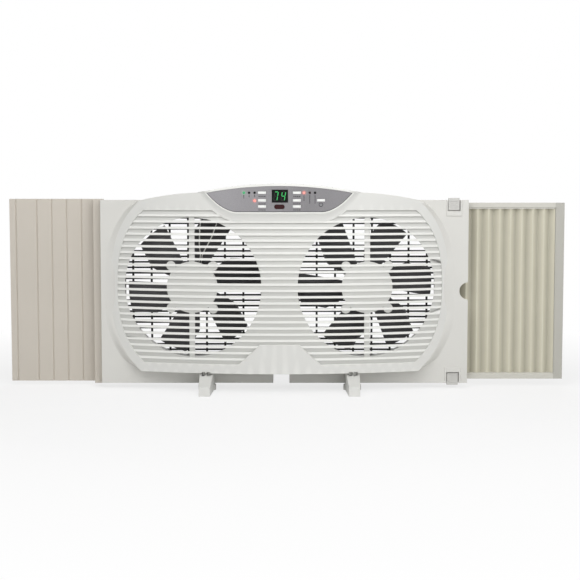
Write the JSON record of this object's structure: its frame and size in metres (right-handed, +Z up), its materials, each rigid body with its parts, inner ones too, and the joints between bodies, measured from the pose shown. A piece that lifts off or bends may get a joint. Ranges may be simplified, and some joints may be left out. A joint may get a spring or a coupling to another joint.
{
  "type": "twin window fan",
  "caption": "Twin window fan with bowed slotted cover, control head, slide-out pleated side screen, clip-on slatted side panel and clip-on feet.",
  "frame": {"origin": "on the floor under the middle of the whole fan, side screen drawn out", "axes": "+X to the right seen from the room, +Y out of the window, +Z up"},
  "size_m": [0.952, 0.1544, 0.348],
  "materials": {
    "frame_plastic": "fine moulded texture",
    "housing_plastic": "moulded",
    "cover_plastic": "fine moulded texture",
    "grille_plastic": "moulded",
    "head_plate": "silver paint on moulding",
    "display_black": "polished smoked acrylic",
    "receiver_red": "polished dark red acrylic",
    "lamp_clear": "translucent lens",
    "button_plastic": "satin moulding",
    "board_green": "solder mask",
    "parts_dark": "moulded electronic packages",
    "capacitor_case": "moulded case",
    "lead_insulation": "extruded insulation",
    "gland_plastic": "moulded",
    "screw_steel": "zinc plated",
    "motor_steel": "pressed and zinc plated",
    "core_steel": "stacked laminations",
    "winding_copper": "enamelled wire",
    "bush_bronze": "sintered",
    "shaft_steel": "ground",
    "blade_plastic": "satin moulding",
    "nut_plastic": "moulded",
    "screen_plastic": "moulded",
    "pleat_film": "folded sheet",
    "slat_plastic": "extruded",
    "strip_plastic": "moulded",
    "lock_plastic": "moulded",
    "foot_plastic": "moulded",
    "pad_rubber": "moulded"
  },
  "bodies": {
    "housing": {"mounting_frame": "frame_plastic", "fan_housing": "housing_plastic", "front_cover": "cover_plastic", "head_back": "cover_plastic", "rear_grille": "grille_plastic", "control_plate": "head_plate", "display_window": "display_black", "receiver_window": "receiver_red", "indicator_lenses": "lamp_clear", "control_board": "board_green", "board_parts": "parts_dark", "run_capacitors": "capacitor_case", "motor_leads": "lead_insulation", "cord_gland": "gland_plastic", "cover_screws": "screw_steel", "grille_screws": "screw_steel", "motor_screws": "screw_steel", "motor_front_left": "motor_steel", "motor_front_right": "motor_steel", "motor_rear_left": "motor_steel", "motor_rear_right": "motor_steel", "stator_left": "core_steel", "stator_right": "core_steel", "windings_left": "winding_copper", "windings_right": "winding_copper", "bushes_left": "bush_bronze", "bushes_right": "bush_bronze", "screen_pleats": "pleat_film"},
    "fan_left": {"blade_left": "blade_plastic", "blade_nut_left": "nut_plastic", "shaft_left": "shaft_steel", "rotor_left": "core_steel"},
    "foot_left": {"foot_left": "foot_plastic", "foot_pads_left": "pad_rubber"},
    "fan_right": {"blade_right": "blade_plastic", "blade_nut_right": "nut_plastic", "shaft_right": "shaft_steel", "rotor_right": "core_steel"},
    "foot_right": {"foot_right": "foot_plastic", "foot_pads_right": "pad_rubber"},
    "side_screen": {"screen_frame": "screen_plastic"},
    "side_panel": {"slat_panel": "slat_plastic", "panel_strip": "strip_plastic"},
    "lock_top": {"lock_top": "lock_plastic"},
    "lock_bottom": {"lock_bottom": "lock_plastic"},
    "button_left_top": {"button_left_top": "button_plastic"},
    "button_left_middle": {"button_left_middle": "button_plastic"},
    "button_left_bottom": {"button_left_bottom": "button_plastic"},
    "button_right_top": {"button_right_top": "button_plastic"},
    "button_right_middle": {"button_right_middle": "button_plastic"},
    "button_right_bottom": {"button_right_bottom": "button_plastic"},
    "button_power": {"button_power": "button_plastic"}
  },
  "joints": [
    {"name": "fan_left_spin", "type": "hinge", "parent": "housing", "child": "fan_left", "pos_m": [-0.156, 0.03, 0.176], "axis": [0, 1, 0], "continuous": true},
    {"name": "fan_right_spin", "type": "hinge", "parent": "housing", "child": "fan_right", "pos_m": [0.136, 0.03, 0.176], "axis": [0, 1, 0], "continuous": true},
    {"name": "side_screen_slide", "type": "slide", "parent": "housing", "child": "side_screen", "axis": [1, 0, 0], "range_m": [-0.166, 0], "deforming": ["screen_pleats"]},
    {"name": "side_panel_unhook", "type": "slide", "parent": "housing", "child": "side_panel", "axis": [-1, 0, 0], "range_m": [0, 0.04]},
    {"name": "lock_top_slide", "type": "slide", "parent": "housing", "child": "lock_top", "axis": [0, 0, 1], "range_m": [-0.0035, 0]},
    {"name": "lock_bottom_slide", "type": "slide", "parent": "housing", "child": "lock_bottom", "axis": [0, 0, 1], "range_m": [0, 0.0035]},
    {"name": "button_left_top_press", "type": "slide", "parent": "housing", "child": "button_left_top", "axis": [0, 1, 0], "range_m": [0, 0.0008], "stiffness_N_per_m": 400},
    {"name": "button_left_middle_press", "type": "slide", "parent": "housing", "child": "button_left_middle", "axis": [0, 1, 0], "range_m": [0, 0.0008], "stiffness_N_per_m": 400},
    {"name": "button_left_bottom_press", "type": "slide", "parent": "housing", "child": "button_left_bottom", "axis": [0, 1, 0], "range_m": [0, 0.0008], "stiffness_N_per_m": 400},
    {"name": "button_right_top_press", "type": "slide", "parent": "housing", "child": "button_right_top", "axis": [0, 1, 0], "range_m": [0, 0.0008], "stiffness_N_per_m": 400},
    {"name": "button_right_middle_press", "type": "slide", "parent": "housing", "child": "button_right_middle", "axis": [0, 1, 0], "range_m": [0, 0.0008], "stiffness_N_per_m": 400},
    {"name": "button_right_bottom_press", "type": "slide", "parent": "housing", "child": "button_right_bottom", "axis": [0, 1, 0], "range_m": [0, 0.0008], "stiffness_N_per_m": 400},
    {"name": "button_power_press", "type": "slide", "parent": "housing", "child": "button_power", "axis": [0, 1, 0], "range_m": [0, 0.0008], "stiffness_N_per_m": 400},
    {"name": "foot_left_pull_off", "type": "slide", "parent": "housing", "child": "foot_left", "axis": [0, 0, -1], "range_m": [0, 0.03]},
    {"name": "foot_right_pull_off", "type": "slide", "parent": "housing", "child": "foot_right", "axis": [0, 0, -1], "range_m": [0, 0.03]}
  ]
}
